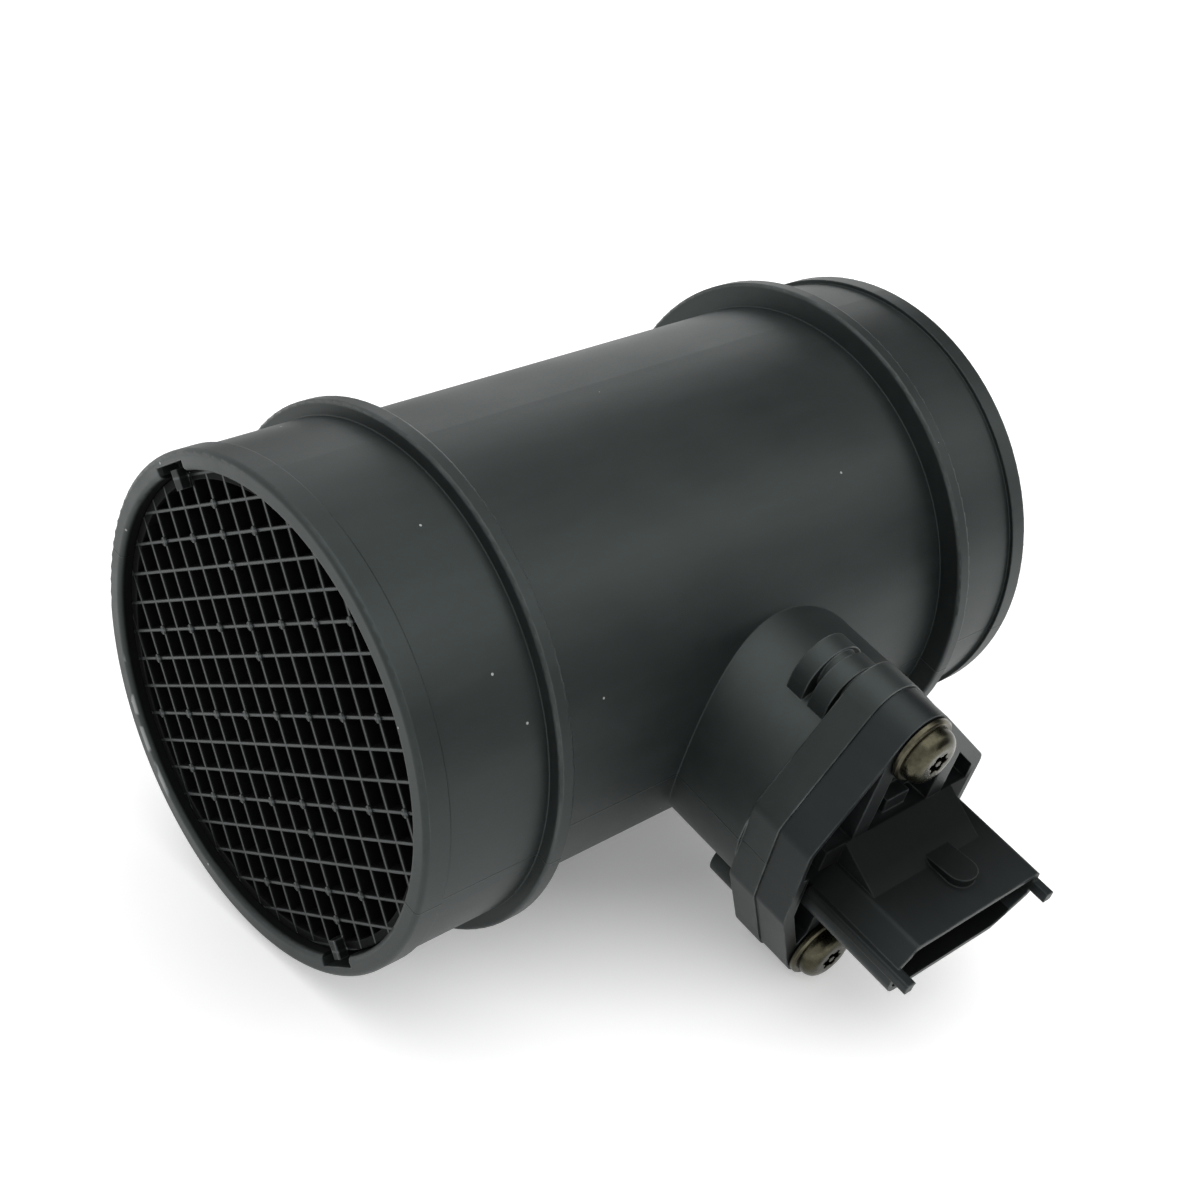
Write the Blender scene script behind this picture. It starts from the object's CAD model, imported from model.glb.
# %% [markdown]
# # A mass airflow sensor in black moulded plastic
# The object is a duct that sits in an engine's air intake, with a plug-in sensor screwed into a port on
# its side. Its exact solids come from a CAD model, so nothing here changes their shape. This lesson gives
# every one of them its finish, adds the small moulded pads that are too fine for CAD, and lights the lot.

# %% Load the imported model
import math

import bmesh
import bpy
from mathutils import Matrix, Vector


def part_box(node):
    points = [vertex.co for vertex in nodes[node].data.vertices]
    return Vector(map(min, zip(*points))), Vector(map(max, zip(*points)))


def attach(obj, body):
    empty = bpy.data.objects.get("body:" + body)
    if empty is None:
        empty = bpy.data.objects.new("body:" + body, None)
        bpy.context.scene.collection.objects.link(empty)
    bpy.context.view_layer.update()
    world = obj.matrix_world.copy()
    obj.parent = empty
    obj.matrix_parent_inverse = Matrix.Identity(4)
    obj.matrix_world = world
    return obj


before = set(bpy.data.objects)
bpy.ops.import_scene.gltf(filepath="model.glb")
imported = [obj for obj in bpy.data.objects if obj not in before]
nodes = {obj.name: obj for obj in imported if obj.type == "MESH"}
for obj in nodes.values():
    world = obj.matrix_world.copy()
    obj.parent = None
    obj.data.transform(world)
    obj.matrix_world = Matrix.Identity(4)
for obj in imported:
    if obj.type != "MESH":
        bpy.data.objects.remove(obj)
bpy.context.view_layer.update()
scene = bpy.context.scene
mm = 0.001

# %% [markdown]
# ## Places that the finishes need
# A finish that follows the shape, such as a mould's parting line, has to know where the shape is. The duct
# runs along X through the origin, and the port leaves it sideways and a little downwards. These values
# repeat the CAD model's own sizes. The masks further down work out their places from them.

# %% Measure the duct
duct_low, duct_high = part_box("housing")
duct_length = duct_high[0] - duct_low[0]
collar_r = duct_high[2]
bore_r = 35.2 * mm
collar_middles = (23.3 * mm, 109.8 * mm)
grid_seat_r = 36.8 * mm
print(f"duct {duct_length / mm:.0f} mm long, collars {2 * collar_r / mm:.1f} mm across")

# %% [markdown]
# The port's parts are placed by the distance out along the port, by their place along the duct and by
# their height above the port's axis. The blades of the grid are placed by their pitch and their turn from
# the port's axis.

# %% Place the port, the connector and the grid
port_x = 71 * mm
port_tilt = math.radians(13.5755)
port_direction = Vector((0, -math.cos(port_tilt), -math.sin(port_tilt)))
flange_face = 64 * mm
socket_floor = 68.2 * mm
connector_axis = -3.7 * mm
screw_places = [(-3.4 * mm, 21.75 * mm), (-6.1 * mm, -21.75 * mm)]
grid_face_x = 2 * mm
blade_pitch = 4.5 * mm
blade_turn = math.radians(47.9)
wide_blade_shift = 1.3 * mm
print(f"port at {port_x / mm:.0f} mm, turned {math.degrees(port_tilt):.1f} degrees down")
print(f"blades every {blade_pitch / mm:.1f} mm")

# %% [markdown]
# ## A small language for materials
# A procedural material is a graph of nodes, and its arithmetic is much easier to read as Python than as
# dozens of separate Math nodes. The class below wraps one output socket. Adding or multiplying two of
# them builds the Math node for that sum, and the reflected forms let a plain number stand on the left, so
# that `1 - mask` works too.


# %% Wrap a socket so that arithmetic builds nodes
class Value:
    def __init__(self, tree, socket):
        self.tree = tree
        self.socket = socket

    def math(self, operation, *others, clamp=False):
        sockets = {f"i{place}": value for place, value in enumerate((self, *others))}
        return add_node(self.tree, "Math", settings={"operation": operation, "use_clamp": clamp}, **sockets)

    def __add__(self, other):
        return self.math("ADD", other)

    __radd__ = __add__

    def __mul__(self, other):
        return self.math("MULTIPLY", other)

    __rmul__ = __mul__

    def __sub__(self, other):
        return self.math("SUBTRACT", other)

    def __rsub__(self, other):
        return (self * -1) + other

    def __gt__(self, other):
        return self.math("GREATER_THAN", other)

    def __lt__(self, other):
        return self.math("LESS_THAN", other)

    def __abs__(self):
        return self.math("ABSOLUTE")

    def __pow__(self, other):
        return self.math("POWER", other)

    def clamped(self):
        return self.math("ADD", 0, clamp=True)

    def rise(self, start, end):
        """0 below start, 1 above end and a straight ramp between them."""
        return ((self - start) * (1 / (end - start))).clamped()

    def band(self, centre, half_width):
        """1 on centre, falling to 0 at half_width either side of it."""
        return 1 - (abs(self - centre) * (1 / half_width)).clamped()


# %% [markdown]
# Every node comes from one function. It takes the node's type, the settings that are made first, and then
# the values or links of its sockets. A socket goes by its name, or by its number, such as `i0`, where
# several have the same name.


# %% Add a node
def connect(tree, value, socket):
    """Links a value to a socket, or sets the socket where the value is a plain number or colour."""
    if isinstance(value, Value):
        tree.links.new(value.socket, socket)
    else:
        socket.default_value = value


def add_node(tree, kind, output=0, settings=None, **values):
    """Adds a node and returns one of its outputs, or a list of them where output is a tuple."""
    node = tree.nodes.new("ShaderNode" + kind)
    for name, setting in (settings or {}).items():
        setattr(node, name, setting)
    for name, value in values.items():
        key = int(name[1:]) if name[0] == "i" and name[1:].isdigit() else name.replace("_", " ")
        connect(tree, value, node.inputs[key])
    if isinstance(output, tuple):
        return [Value(tree, node.outputs[one]) for one in output]
    return Value(tree, node.outputs[output])


# %% [markdown]
# The material itself is a second small class, whose methods are the marks that the finishes share: noise,
# specks, rubbed edges. Object coordinates are used throughout: every solid's object sits at the origin, so
# these are simply metres from the inlet's centre.

# %% Build a material node by node
sunk_black = (0.0025, 0.0025, 0.0025, 1)


class Finish:
    def __init__(self, name):
        self.material = bpy.data.materials.new(name)
        self.material.use_nodes = True
        self.tree = self.material.node_tree
        self.shader = self.tree.nodes["Principled BSDF"]
        self.position = self.node("TexCoord", output="Object")

    def node(self, kind, **rest):
        return add_node(self.tree, kind, **rest)

    def axes(self):
        """The position's X, Y and Z, in metres."""
        return self.node("SeparateXYZ", output=(0, 1, 2), Vector=self.position)

    def stretched(self, x=1.0, y=1.0, z=1.0):
        """The position with each axis scaled, for marks that are longer one way."""
        return self.node("VectorMath", settings={"operation": "MULTIPLY"}, i0=self.position, i1=(x, y, z))

    def noise(self, size, detail=2.0, roughness=0.5, vector=None, seed=0.0):
        """Soft noise from 0 to 1 whose blotches are about size metres across."""
        place = vector or self.position
        moved = self.node("VectorMath", settings={"operation": "ADD"}, i0=place, i1=(seed, seed, seed))
        return self.node("TexNoise", Vector=moved, Scale=1 / size, Detail=detail, Roughness=roughness)

    def specks(self, size, share, seed=0.0):
        """1 inside round specks of about size metres, spread far apart, and 0 between them."""
        cell = size * 9
        moved = self.node("VectorMath", settings={"operation": "ADD"}, i0=self.position, i1=(seed, 0, seed))
        near, tint = self.node("TexVoronoi", output=("Distance", "Color"), Vector=moved, Scale=1 / cell)
        chance = self.node("SeparateColor", Color=tint)
        return (near < size / cell * 0.5) * (chance < share)

    def colour(self, mask, low, high):
        """Mixes two colours by a mask."""
        return self.node(
            "Mix",
            output=2,
            settings={"data_type": "RGBA"},
            Factor=mask,
            i6=low if isinstance(low, Value) else (*low, 1),
            i7=high if isinstance(high, Value) else (*high, 1),
        )

    def edges(self, radius):
        """1 on edges that are sharper than radius metres, 0 on flat and gently curved faces."""
        soft = self.node("Bevel", settings={"samples": 6}, Radius=radius)
        sharp = self.node("NewGeometry", output=1)
        facing = self.node("VectorMath", output=1, settings={"operation": "DOT_PRODUCT"}, i0=soft, i1=sharp)
        return (1 - facing).rise(0.01, 0.22)

    def softened(self, height, strength, depth, radius):
        """Bumps of depth metres on faces whose edges are eased to radius metres."""
        eased = self.node("Bevel", settings={"samples": 6}, Radius=radius)
        return self.node("Bump", Height=height, Strength=strength, Distance=depth, Normal=eased)

    def sink(self, mask):
        """Sinks the surface towards a dull black, all the way where mask is 1."""
        plain = Value(self.tree, self.shader.outputs[0])
        black = self.node("BsdfPrincipled", Base_Color=sunk_black, Roughness=0.95, Specular_IOR_Level=0.08)
        mixed = self.node("MixShader", i0=mask, i1=plain, i2=black)
        connect(self.tree, mixed, self.tree.nodes["Material Output"].inputs["Surface"])

    def set(self, **values):
        for name, value in values.items():
            connect(self.tree, value, self.shader.inputs[name.replace("_", " ")])
        return self.material


# %% [markdown]
# ## Dressing a solid
# Every solid arrives with a plain material. Its mesh stays as it is, and only the material is replaced.


# %% Dress a solid
def dress(node_name, material):
    """Gives a CAD node its material in place of the plain one it came with."""
    mesh = nodes[node_name].data
    mesh.materials.clear()
    mesh.materials.append(material)


# %% [markdown]
# ## Glass-filled black plastic
# The duct, the sensor and the grid are moulded in black plastic with short glass fibres. Such a surface is
# never one flat black. It has a very fine grain, faint streaks where the melt flowed, broad patches that
# are a touch duller, edges rubbed to a lighter grey, and here and there a speck of dust. One function makes
# it, and each part asks for its own tone, roughness and flow direction. A part may also hand over functions
# of its own, which say where its edges are rubbed, where a ridge stands, where it is worn and where it
# sinks into black.

# %% Moulded plastic
cool_reflection = (0.86, 1.0, 0.97, 1)
worn_grey = (0.30, 0.31, 0.31)
dust_grey = (0.42, 0.43, 0.42)


def moulded_plastic(
    name,
    tone,
    roughness,
    flow,
    edge_tone,
    grain=0.35 * mm,
    shine=0.5,
    rims=None,
    ridge=None,
    wear=None,
    depth=None,
):
    finish = Finish(name)
    finish.set(Specular_Tint=cool_reflection, Specular_IOR_Level=shine)
    patches = finish.noise(26 * mm, detail=3, seed=1.7)
    streaks = finish.noise(3.2 * mm, detail=4, vector=finish.stretched(*flow), seed=4.1)
    fine = finish.noise(grain, detail=3, roughness=0.6, seed=9.3)
    dust = finish.specks(0.42 * mm, 0.05, seed=0.31)
    edge = finish.edges(0.45 * mm) * finish.noise(4 * mm, detail=2, seed=2.9).rise(0.3, 0.65)
    if rims:
        edge = edge * rims(finish)
    darker = tuple(part * 0.6 for part in tone)
    lighter = tuple(part * 1.9 for part in tone)
    body = finish.colour((patches * 0.6 + streaks * 0.4).rise(0.3, 0.7), darker, lighter)
    rubbed = finish.colour(edge * 0.75, body, edge_tone)
    if wear:
        rubbed = finish.colour(wear(finish), rubbed, worn_grey)
    dusty = finish.colour(dust * 0.8, rubbed, dust_grey)
    height = fine * 0.5 + streaks * 0.25 + dust * 0.6
    if ridge:
        height = height + ridge(finish)
    if depth:
        finish.sink(depth(finish))
    return finish.set(
        Base_Color=dusty,
        Roughness=roughness + (patches - 0.5) * 0.22 + (fine - 0.5) * 0.1,
        Normal=finish.softened(height, 0.5, 0.05 * mm, 0.35 * mm),
    )


# %% [markdown]
# A two-part mould leaves a fine raised line where its halves met. On the duct they met close to the plane
# of the port, so the line runs along the duct on the port's side and again opposite. It's only about a
# tenth of a millimetre high, which a bump shows well and a mesh would show badly.

# %% Parting line on the duct
parting_turn = math.radians(1.8)
parting_half_width = 0.2 * mm
parting_height = 4.0


def parting_line(finish):
    """A ridge along the duct, its height counted in the depth of the plastic's own bumps."""
    _, y, z = finish.axes()
    turn = port_tilt + parting_turn
    across = y * -math.sin(turn) + z * math.cos(turn)
    return across.band(0, parting_half_width) * parting_height


# %% [markdown]
# Handling rubs what stands out: the collars, the port and the two ends of the duct. Their mask needs the
# distance from the duct's axis, and so do the masks after it.

# %% Rubbed rims of the duct
collar_rim = 1.4 * mm
end_rim = 1.2 * mm


def from_axis(y, z):
    """The distance from the duct's axis, in metres."""
    return (y * y + z * z) ** 0.5


def collar_rims(finish):
    """1 on the collars, the port and the duct's two ends, and 0 between them."""
    x, y, z = finish.axes()
    ends = (x < end_rim) + (x > duct_length - end_rim)
    return ((from_axis(y, z) > collar_r - collar_rim) + ends).clamped()


# %% [markdown]
# The lip of the mouth is a little worn on the side away from the port and has a few bright slivers low
# down, and the two corners of each collar have a patchy pale line. Each mark is a band round a radius or a
# place along the duct, broken up by noise. Marks that are painted leave the solid as it is, where dents in
# the mesh would change it.

# %% Wear on the duct
lip_middle_r = 38.3 * mm
lip_inner_r = 37.7 * mm
collar_corner = 1.25 * mm


def worn_lip(finish, x, y, radius):
    """Faint wear on the lip of the mouth, on the side away from the port."""
    lip = radius.band(lip_middle_r, 1.3 * mm).rise(0.1, 0.6) * (x < 0.9 * mm)
    worn_side = y.rise(-10 * mm, 12 * mm) * finish.noise(9 * mm, detail=4, seed=3.4).rise(0.25, 0.6)
    return lip * worn_side * 0.16


def lip_slivers(finish, x, y, z, radius):
    """Bright slivers on the inner edge of the mouth, low on the side away from the port."""
    inner_edge = radius.band(lip_inner_r, 0.7 * mm).rise(0.1, 0.5) * (x < 1.1 * mm)
    knocked_side = y.rise(24 * mm, 26 * mm) * (z * -1).rise(6 * mm, 9 * mm)
    chips = finish.noise(4.5 * mm, detail=2, seed=6.6).rise(0.50, 0.58)
    return inner_edge * knocked_side * chips * 0.85


def collar_lines(finish, x, radius):
    """A faint patchy line along the two corners of each collar."""
    on_crown = radius.rise(collar_r - 0.75 * mm, collar_r - 0.35 * mm)
    places = [middle + side * collar_corner for middle in collar_middles for side in (-1, 1)]
    corners = [x.band(place, 0.4 * mm) for place in places]
    patchy = finish.noise(7 * mm, detail=3, seed=8.8).rise(0.3, 0.7) * 0.14
    return sum(corners[1:], corners[0]).clamped() * on_crown * patchy


def handling_marks(finish):
    """All the wear on the duct, from 0 to 1."""
    x, y, z = finish.axes()
    radius = from_axis(y, z)
    marks = worn_lip(finish, x, y, radius) + lip_slivers(finish, x, y, z, radius)
    return (marks + collar_lines(finish, x, radius)).clamped()


# %% [markdown]
# Deep and narrow places on a black part look blacker than its outside. A white floor and a pale sky light
# them too well here, so a mask sinks them towards a dull black, which also stands for the dirt that
# collects there. On the duct it is the bore's wall behind the mouth. On the grid it is the sides of the
# blades, while their crests stay light and the pads lie between the two.

# %% Dark bore and dark blades
mouth_dark = 0.88
blade_dark = 0.92
pad_dark = 0.55


def inside_mouth(finish):
    """High on the bore's wall near the inlet, and fading out well inside the duct."""
    x, y, z = finish.axes()
    near_inlet = x.rise(0.2 * mm, 0.9 * mm) * (1 - x.rise(40 * mm, 90 * mm))
    return (from_axis(y, z) < grid_seat_r + 0.5 * mm) * near_inlet * mouth_dark


def blade_flanks(finish):
    """High on the sides of the grid's blades, lower on its pads, 0 along the crests of the blades."""
    x, y, z = finish.axes()
    turn = blade_turn + port_tilt
    across = y * math.sin(turn) - z * math.cos(turn)
    along = y * math.cos(turn) + z * math.sin(turn)
    from_wide = (across - wide_blade_shift).math("PINGPONG", blade_pitch / 2)
    from_thin = along.math("PINGPONG", blade_pitch / 2)
    off_crest = from_wide.math("MINIMUM", from_thin).rise(0.08 * mm, 0.26 * mm)
    behind = x.rise(grid_face_x + 0.1 * mm, grid_face_x + 0.5 * mm)
    darkness = (x > grid_face_x - 0.05 * mm) * (blade_dark - pad_dark) + pad_dark
    return off_crest.math("MAXIMUM", behind) * darkness


# %% [markdown]
# The connector is treated in the same way. It is darkest round its root, where it meets the flange, and
# the dark fades out towards its mouth. The inside of the socket is dark all over.

# %% Dark root and socket of the connector
root_dark = 0.8
socket_dark = 0.85
root_half_width = 17.5 * mm
socket_half_width = 12.7 * mm
socket_half_height = 3.85 * mm


def in_port_frame(finish):
    """The place along the duct, the distance out along the port and the height above the port's axis."""
    x, y, z = finish.axes()
    reach = y * port_direction[1] + z * port_direction[2]
    height = z * math.cos(port_tilt) - y * math.sin(port_tilt)
    return x, reach, height


def connector_shade(finish):
    """High round the connector's root and inside its socket."""
    x, reach, height = in_port_frame(finish)
    above_base = height.rise(connector_axis - 3 * mm, connector_axis)
    below_ridge = 1 - height.rise(connector_axis + 8.6 * mm, connector_axis + 11 * mm)
    beside = above_base * below_ridge * (abs(x - port_x) < root_half_width)
    root = reach.rise(flange_face - 1.6 * mm, flange_face - 0.4 * mm)
    towards_mouth = reach.rise(flange_face + 5 * mm, flange_face + 20 * mm)
    within_height = abs(height - connector_axis) < socket_half_height
    in_socket = within_height * (abs(x - port_x) < socket_half_width) * (reach > socket_floor)
    return (beside * root * (1 - towards_mouth) * root_dark).math("MAXIMUM", in_socket * socket_dark)


# %% [markdown]
# With the masks ready, the plastics follow. The duct and the sensor are nearly the same black, the
# sensor's with a weaker shine. The grid is a little smoother, and its edges are rubbed lightest. The two
# covers inside the stem are the plainest.

# %% Make the plastics and dress the mouldings
duct_plastic = moulded_plastic(
    "duct_plastic",
    tone=(0.0068, 0.0084, 0.0083),
    roughness=0.47,
    flow=(0.25, 1, 1),
    edge_tone=(0.20, 0.21, 0.21),
    rims=collar_rims,
    ridge=parting_line,
    wear=handling_marks,
    depth=inside_mouth,
)
sensor_plastic = moulded_plastic(
    "sensor_plastic",
    tone=(0.0062, 0.0072, 0.0078),
    roughness=0.43,
    flow=(1, 0.25, 1),
    edge_tone=(0.13, 0.14, 0.14),
    shine=0.33,
    depth=connector_shade,
)
grid_plastic = moulded_plastic(
    "grid_plastic",
    tone=(0.0075, 0.0080, 0.0086),
    roughness=0.38,
    flow=(1, 1, 1),
    edge_tone=(0.26, 0.27, 0.28),
    grain=0.25 * mm,
    depth=blade_flanks,
)
cover_plastic = moulded_plastic(
    "cover_plastic",
    tone=(0.008, 0.0085, 0.0085),
    roughness=0.45,
    flow=(1, 1, 0.3),
    edge_tone=(0.09, 0.09, 0.09),
)
dress("housing", duct_plastic)
dress("sensor_body", sensor_plastic)
dress("inlet_grid", grid_plastic)
dress("electronics_cover", cover_plastic)
dress("channel_cover", cover_plastic)
print("plastic on the duct, the sensor, the grid and the two covers")

# %% [markdown]
# ## Seal rubber
# The ring in the port is oil-resistant rubber: darker and far duller than the plastic, with a slight
# bloom. It's hardly seen, so a patchy roughness and a soft grain are enough.


# %% Seal
def seal_rubber():
    finish = Finish("seal_rubber")
    bloom = finish.noise(5 * mm, detail=3, seed=3.3)
    grain = finish.noise(0.3 * mm, detail=2, seed=5.1)
    return finish.set(
        Base_Color=finish.colour(bloom, (0.006, 0.006, 0.006), (0.016, 0.016, 0.015)),
        Roughness=0.66 + bloom * 0.18,
        Normal=finish.node("Bump", Height=grain, Strength=0.3, Distance=0.04 * mm),
    )


dress("port_seal", seal_rubber())
print("rubber on the seal ring")

# %% [markdown]
# ## Metals
# The flange screws and their washers are passivated steel, which turns a dull olive yellow. The carrier
# plate is plain rolled sheet with fine lines along the duct, and the terminals and the posts are tinned
# brass with lines along the port. All are metals whose tone and roughness change a little over the surface,
# so one function makes them, and the marks of the tool are noise that can be drawn out one way.

# %% Worked metal
tarnish_size = 2.5 * mm
grease_black = (0.012, 0.011, 0.009)
brightest = 0.8


def worked_metal(name, light, dark, roughness, lines, line_size, grease=None):
    finish = Finish(name)
    tarnish = finish.noise(tarnish_size, detail=4, roughness=0.6, seed=2.2)
    tooling = finish.noise(line_size, detail=2, vector=finish.stretched(*lines), seed=7.7)
    stained = finish.colour(tarnish.rise(0.35, 0.7), light, dark)
    if grease:
        stained = finish.colour(grease(finish), stained, grease_black)
    bright = tuple(min(part * 1.7, brightest) for part in light)
    return finish.set(
        Base_Color=finish.colour(finish.edges(0.25 * mm) * 0.5, stained, bright),
        Metallic=1.0,
        Roughness=roughness + (tarnish - 0.5) * 0.25 + (tooling - 0.5) * 0.12,
        Normal=finish.softened(tooling, 0.25, 0.03 * mm, 0.18 * mm),
    )


# %% [markdown]
# The recess in a screw's head is small and deep, and grease from the driver stays in it. A dark stain in
# and round each one keeps it from filling with light.

# %% Grease in the screws
grease_dark = 0.75


def recess_grease(finish):
    """High round the recess of each screw's head, fading out to the rest of the head."""
    x, reach, height = in_port_frame(finish)
    rings = [((x - port_x - u) ** 2 + (height - v) ** 2) ** 0.5 for u, v in screw_places]
    near = rings[0].math("MINIMUM", rings[1])
    return (1 - near.rise(1.7 * mm, 2.5 * mm)) * (reach > flange_face + 2.5 * mm) * grease_dark


# %% [markdown]
# A washer is made a shade lighter and duller than its screw, so that the two tell apart. Screws, washers,
# posts and terminals are numbered, so loops dress them.

# %% Make the metals and dress the small metal parts
screw_steel = worked_metal(
    "screw_steel",
    light=(0.088, 0.083, 0.056),
    dark=(0.034, 0.032, 0.021),
    roughness=0.28,
    lines=(1, 1, 1),
    line_size=0.4 * mm,
    grease=recess_grease,
)
washer_steel = worked_metal(
    "washer_steel",
    light=(0.105, 0.098, 0.068),
    dark=(0.042, 0.039, 0.027),
    roughness=0.32,
    lines=(1, 1, 1),
    line_size=0.3 * mm,
)
sheet_metal = worked_metal(
    "carrier_aluminium",
    light=(0.62, 0.63, 0.64),
    dark=(0.48, 0.49, 0.50),
    roughness=0.34,
    lines=(0.1, 1, 1),
    line_size=0.3 * mm,
)
tinned_brass = worked_metal(
    "terminal_tin",
    light=(0.55, 0.52, 0.44),
    dark=(0.40, 0.37, 0.30),
    roughness=0.30,
    lines=(1, 0.15, 1),
    line_size=0.3 * mm,
)
for number in (1, 2):
    dress(f"flange_screw_{number}", screw_steel)
    dress(f"screw_washer_{number}", washer_steel)
    dress(f"sensor_post_{number}", tinned_brass)
terminals = [name for name in nodes if name.startswith("terminal_")]
for name in terminals:
    dress(name, tinned_brass)
dress("carrier_plate", sheet_metal)
print(f"metal on the screws, washers and posts, the carrier plate and {len(terminals)} terminals")

# %% [markdown]
# ## Electronics
# Inside the stem are the circuit board, its chips, the ceramic strip that reaches into the air channel and
# the glass bead that takes the air's temperature. They're small and mostly covered, but the part can be
# taken apart, so each gets a finish of its own. A chip package, glazed ceramic and glass differ only in
# tone, roughness and coat, and a fine speckle suits them all.


# %% Speckled finish of the small parts
def speckled(name, low, high, roughness, size, coat=0.0):
    finish = Finish(name)
    speckle = finish.noise(size, detail=4, roughness=0.65, seed=1.1)
    broad = finish.noise(size * 9, detail=2, seed=8.4)
    return finish.set(
        Base_Color=finish.colour((speckle * 0.6 + broad * 0.4).rise(0.3, 0.7), low, high),
        Roughness=roughness + (broad - 0.5) * 0.15,
        Coat_Weight=coat,
        Normal=finish.softened(speckle, 0.2, 0.02 * mm, 0.1 * mm),
    )


# %% [markdown]
# The board is glass cloth under green varnish. Two sine waves that cross make the weave of the cloth, and
# a coarser wave, broken up by noise, stands for the copper tracks below the varnish.

# %% Green laminate of the board
weave_pitch = 0.5 * mm
track_pitch = 1.9 * mm


def board_laminate():
    finish = Finish("board_green")
    x, reach, _ = in_port_frame(finish)
    weave_turns = math.tau / weave_pitch
    weave = (x * weave_turns).math("SINE") * (reach * weave_turns).math("SINE") * 0.5 + 0.5
    waves = (x * (math.tau / track_pitch)).math("SINE").rise(0.2, 0.35)
    tracks = waves * finish.noise(4 * mm, seed=3).rise(0.4, 0.5)
    green = finish.colour(weave * 0.4 + tracks * 0.6, (0.010, 0.055, 0.028), (0.028, 0.125, 0.060))
    return finish.set(Base_Color=green, Roughness=0.32 + weave * 0.1, Coat_Weight=0.3)


# %% [markdown]
# Each small part then gets its two tones, its roughness and the size of its speckle. The sensing film and
# the bead are glassy, so they have a clear coat as well.

# %% Dress the electronics
chip_black = speckled("chip_black", (0.008, 0.008, 0.009), (0.02, 0.02, 0.021), 0.55, 0.4 * mm)
capacitor_tan = speckled("capacitor_tan", (0.22, 0.14, 0.07), (0.33, 0.22, 0.12), 0.35, 0.3 * mm)
element_ceramic = speckled("element_ceramic", (0.62, 0.60, 0.55), (0.75, 0.73, 0.68), 0.4, 0.3 * mm)
film_glass = speckled("film_glass", (0.012, 0.022, 0.05), (0.03, 0.05, 0.09), 0.12, 0.2 * mm, coat=0.6)
bead_glass = speckled("bead_glass", (0.02, 0.035, 0.015), (0.04, 0.07, 0.03), 0.15, 0.5 * mm, coat=0.5)
dress("circuit_board", board_laminate())
dress("signal_chip", chip_black)
for number in (1, 2, 3):
    dress(f"capacitor_{number}", capacitor_tan)
dress("flow_element", element_ceramic)
dress("film_chip", film_glass)
dress("temperature_bead", bead_glass)
print("finishes on the board, its chips and the sensing parts")

# %% [markdown]
# ## Ejector pads on the grid
# Pins pushed the grid out of its mould, and each left a small round pad where two blades cross: every
# second crossing one way and every third the other, and closer together along the middle. They stand a
# quarter of a millimetre proud of the blades and catch the light. One pad is modelled, a short cylinder
# with a softened rim and a dished face, and is then copied to each place.

# %% Model one pad
pad_r = 0.72 * mm
pad_height = 0.25 * mm
pad_root = 0.35 * mm
pad_sides = 18
pad_rim = 0.12 * mm
pad_slope = 0.18 * mm
pad_dish = 0.05 * mm
pad_softening = 0.06 * mm


def deselect_all():
    for thing in list(bpy.context.selected_objects):
        thing.select_set(False)


def model_pad():
    deselect_all()
    bpy.ops.mesh.primitive_cylinder_add(
        vertices=pad_sides,
        radius=pad_r,
        depth=pad_height + pad_root,
        location=(grid_face_x + (pad_root - pad_height) / 2, 0, 0),
        rotation=(0, -math.pi / 2, 0),
    )
    pad = bpy.context.object
    bpy.ops.object.transform_apply(location=True, rotation=True, scale=True)
    bpy.ops.object.mode_set(mode="EDIT")
    shape = bmesh.from_edit_mesh(pad.data)
    for face in shape.faces:
        face.select_set(face.normal.x < -0.9)
    shape.select_flush_mode()
    bmesh.update_edit_mesh(pad.data)
    bpy.ops.mesh.inset(thickness=pad_rim)
    bpy.ops.mesh.inset(thickness=pad_slope, depth=-pad_dish)
    bpy.ops.object.mode_set(mode="OBJECT")
    bevel = pad.modifiers.new("rim", "BEVEL")
    bevel.width = pad_softening
    bevel.segments = 2
    bevel.limit_method = "ANGLE"
    bpy.ops.object.modifier_apply(modifier=bevel.name)
    return pad


first_pad = model_pad()
print(f"one pad with {len(first_pad.data.polygons)} faces")

# %% [markdown]
# The crossings are counted in blades, from the middle of the grid, and a crossing is left out where its
# pad would come too near the bore's wall. The grid is turned in the duct, and the port is tilted, so a
# count becomes a place in two turns.

# %% Choose the crossings
pad_clearance = 1.2 * mm


def crossing(step_across, step_along):
    """The place of one crossing, in the two directions across the duct that the port is drawn in."""
    across = step_across * blade_pitch + wide_blade_shift
    along = step_along * blade_pitch
    u = across * math.sin(blade_turn) + along * math.cos(blade_turn)
    v = -across * math.cos(blade_turn) + along * math.sin(blade_turn)
    return u, v


def untilted(u, v):
    """Turns a place in those two directions into Y and Z."""
    y = u * math.cos(port_tilt) - v * math.sin(port_tilt)
    z = u * math.sin(port_tilt) + v * math.cos(port_tilt)
    return y, z


spread_crossings = [(across, along) for across in range(-7, 8, 2) for along in range(-6, 7, 3)]
middle_crossings = [(-1, along) for along in (-7, -4, 2, 5, 7)] + [(6, along) for along in (-2, 2)]
pad_places = [crossing(*steps) for steps in spread_crossings + middle_crossings]
pad_places = [place for place in pad_places if math.hypot(*place) <= bore_r - pad_clearance]
print(f"{len(pad_places)} crossings with a pad")

# %% [markdown]
# Each copy gets its own mesh, whose corners are moved and not its object, so that every object stays at the
# origin. The copies are joined, because the pads are one moulding with the grid, and they share its finish.

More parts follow.
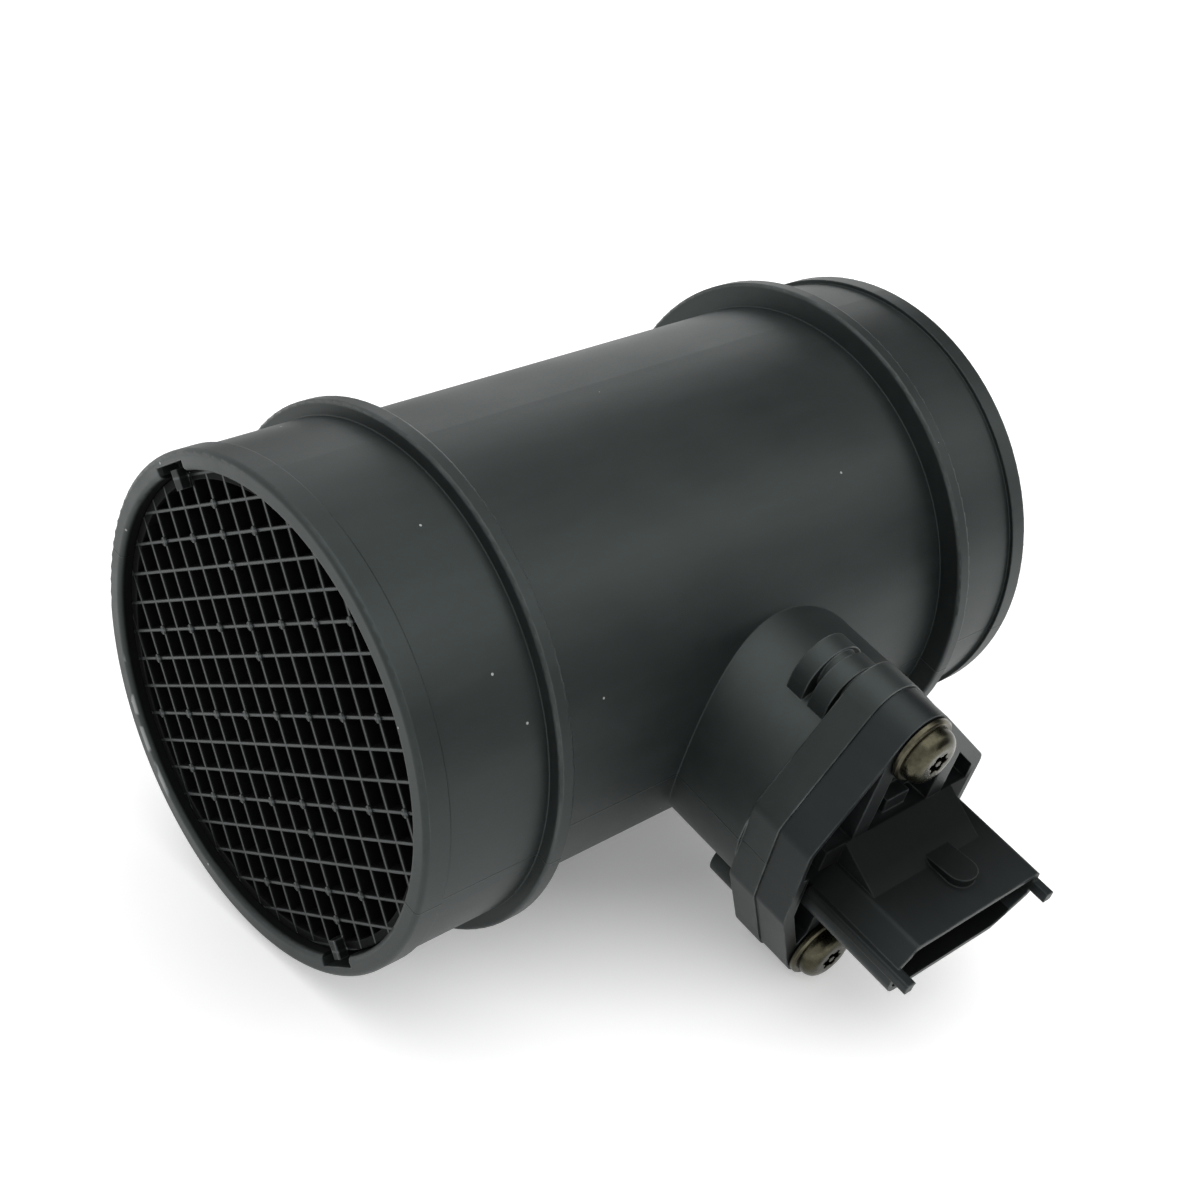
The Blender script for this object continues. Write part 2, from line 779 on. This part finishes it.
# %% Copy the pad over the grid
pads = []
for place in pad_places:
    pad = first_pad.copy()
    pad.data = first_pad.data.copy()
    y, z = untilted(*place)
    for corner in pad.data.vertices:
        corner.co.y += y
        corner.co.z += z
    scene.collection.objects.link(pad)
    pads.append(pad)
bpy.data.objects.remove(first_pad)
deselect_all()
for pad in pads:
    pad.select_set(True)
bpy.context.view_layer.objects.active = pads[0]
bpy.ops.object.join()
grid_pads = pads[0]
grid_pads.name = "grid_pads"
bpy.ops.object.shade_smooth_by_angle(angle=math.radians(35))
grid_pads.data.materials.append(grid_plastic)
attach(grid_pads, "root")
print(f"{len(pad_places)} ejector pads joined to one piece")

# %% [markdown]
# ## Camera
# The object is seen from above its inlet, through a lens of about 60 mm on a 36 mm sensor. The lens is
# shifted by a twentieth of the frame, which places the object in the middle without turning the camera.

# %% Set up the camera
camera_place = (-0.13137, -0.20153, 0.16604)
camera_turns = (58.151, -5.407, -43.366)
camera = bpy.data.objects.new("camera", bpy.data.cameras.new("camera"))
scene.collection.objects.link(camera)
camera.location = camera_place
camera.rotation_euler = [math.radians(turn) for turn in camera_turns]
camera.data.sensor_width = 36
camera.data.lens = 59.71
camera.data.shift_x = -0.05
camera.data.shift_y = 0.03
camera.data.clip_start = 0.01
scene.camera = camera
print(f"camera with a {camera.data.lens:.0f} mm lens")

# %% [markdown]
# ## Floor
# The object lies on white paper. Paper alone would come out grey, so it glows a little, but only for the
# camera and in mirror reflections, so that the glow adds no soft light to the object. It is weaker near the
# object, whose own soft shadow stays. The Standard view transform keeps white as white.

# %% Lay the floor
scene.view_settings.view_transform = "Standard"
floor_size = 6
floor_gap = 0.02 * mm
glow_near = 0.19
glow_step = 0.2


def seen_directly(tree):
    """1 for the camera, for mirror reflections and for what is seen through glass, and 0 for soft light."""
    rays = add_node(tree, "LightPath", output=("Is Camera Ray", "Is Glossy Ray", "Is Transmission Ray"))
    return (rays[0] + rays[1] + rays[2]).clamped()


deselect_all()
bpy.ops.mesh.primitive_plane_add(size=floor_size, location=(0, 0, duct_low[2] - floor_gap))
floor = bpy.context.object
floor.name = "floor"
paper = Finish("paper")
paper.set(Base_Color=(0.88, 0.885, 0.88, 1), Roughness=0.9)
floor_x, floor_y, _ = paper.axes()
from_object = ((floor_x - port_x) ** 2 + floor_y**2) ** 0.5
close_by = from_object.rise(28 * mm, 60 * mm) * glow_step
further_out = from_object.rise(80 * mm, 300 * mm) * glow_step
glow = glow_near + close_by + further_out
paper.set(Emission_Color=(1, 1, 1, 1), Emission_Strength=seen_directly(paper.tree) * glow)
floor.data.materials.append(paper.material)
print(f"floor {floor_size} m across, under the duct's collars")

# %% [markdown]
# ## Sky
# The world is a pale tent that lights the object evenly. What the camera and the reflections see of it is
# pure white, as behind the floor, and the soft light that it gives is weaker.

# %% Hang the tent
tent_light = 0.6
world = bpy.data.worlds.new("tent")
scene.world = world
world.use_nodes = True
sky = world.node_tree
background = sky.nodes["Background"]
background.inputs["Color"].default_value = (1, 1, 1, 1)
connect(sky, tent_light + seen_directly(sky) * (1 - tent_light), background.inputs["Strength"])
print(f"tent at {tent_light} of full white")

# %% [markdown]
# ## Lamps
# A black object shows its form by what it reflects, so its lamps are big and soft. A broad one above and in
# front is the main light, a small weak one far behind is there for the light along the duct's top, and
# another weak one at the side is there for the port. All are area lamps, which reflect as plain bright
# cards.


# %% Set the lamps
def softbox(name, place, aim, width, height, power):
    lamp = bpy.data.objects.new(name, bpy.data.lights.new(name, "AREA"))
    lamp.data.shape = "RECTANGLE"
    lamp.data.size = width
    lamp.data.size_y = height
    lamp.data.energy = power
    lamp.location = place
    lamp.rotation_euler = (Vector(aim) - Vector(place)).to_track_quat("-Z", "Y").to_euler()
    scene.collection.objects.link(lamp)


softbox("lamp_above", (0.10, -0.22, 1.0), (0.06, 0, 0), 1.4, 1.5, 7.4)
softbox("lamp_behind", (0.74, 0.64, 0.35), (0.08, 0, 0), 0.5, 0.36, 0.5)
softbox("lamp_side", (0.65, -0.60, 0.45), (0.08, -0.02, 0), 0.4, 0.4, 0.8)
print(f"{len(bpy.data.lights)} lamps")

# %% [markdown]
# ## Black cards
# All round white would make black plastic grey. Dark cards stand where a side of the object has to stay
# black. Only reflections see them: they throw no shadow and the camera looks through them.

# %% Stand the black cards
card_black = Finish("flag_black").set(Base_Color=(0.01, 0.01, 0.01, 1), Roughness=1.0)


def black_flag(name, place, aim, size):
    deselect_all()
    bpy.ops.mesh.primitive_plane_add(size=size, location=place)
    card = bpy.context.object
    card.name = name
    card.rotation_euler = (Vector(aim) - Vector(place)).to_track_quat("Z", "Y").to_euler()
    card.visible_camera = card.visible_shadow = card.visible_diffuse = False
    card.data.materials.append(card_black)


black_flag("flag_right", (1.1, 0.05, 1.0), (0.08, -0.02, 0), 1.4)
black_flag("flag_front", (0.235, -0.28, 0.05), (0.06, -0.03, 0.02), 0.24)
black_flag("flag_behind", (0.36, 0.72, 0.06), (0, 0, 0.03), 0.26)
print("three black cards")
